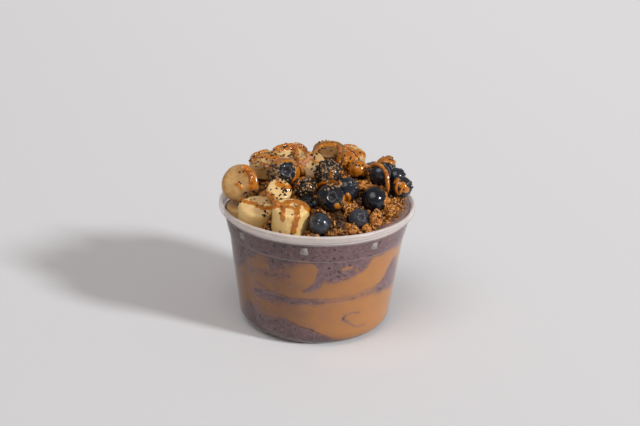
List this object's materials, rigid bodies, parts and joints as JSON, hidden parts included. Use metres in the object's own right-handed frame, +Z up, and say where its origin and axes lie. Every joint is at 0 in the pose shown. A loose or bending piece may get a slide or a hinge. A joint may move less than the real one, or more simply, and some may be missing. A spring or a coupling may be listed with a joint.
{
  "type": "acai bowl",
  "caption": "Round clear plastic cup filled with acai and a peanut butter swirl, heaped with banana slices, blueberries and granola.",
  "frame": {"origin": "on the cup's axis, on the surface it stands on", "axes": "+Z up along the cup's axis, -Y towards the front that the picture shows, +X to its right"},
  "size_m": [0.117, 0.117, 0.1038],
  "materials": {
    "clear_plastic": "clear polypropylene, slightly cloudy at the lip",
    "acai": "frozen purple fruit blend, fine icy specks",
    "peanut_butter": "smooth soft peanut butter",
    "granola": "toasted oat clusters with peanut butter drizzle",
    "banana": "moist cut fruit with seeds and caramel drizzle",
    "blueberry": "dark skin with a thin bloom"
  },
  "bodies": {
    "root": {"cup": "clear_plastic", "acai": "acai", "peanut_butter": "peanut_butter", "granola": "granola", "banana_slice_01": "banana", "banana_slice_02": "banana", "banana_slice_03": "banana", "banana_slice_04": "banana", "banana_slice_05": "banana", "banana_slice_06": "banana", "banana_slice_07": "banana", "banana_slice_08": "banana", "banana_slice_09": "banana", "banana_slice_10": "banana", "banana_slice_11": "banana", "banana_slice_12": "banana", "blueberry_01": "blueberry", "blueberry_02": "blueberry", "blueberry_03": "blueberry", "blueberry_04": "blueberry", "blueberry_05": "blueberry", "blueberry_06": "blueberry", "blueberry_07": "blueberry", "blueberry_08": "blueberry", "blueberry_09": "blueberry", "blueberry_10": "blueberry", "blueberry_11": "blueberry", "blueberry_12": "blueberry", "blueberry_13": "blueberry", "blueberry_14": "blueberry", "blueberry_15": "blueberry", "blueberry_16": "blueberry", "blueberry_17": "blueberry", "blueberry_18": "blueberry"}
  },
  "joints": []
}
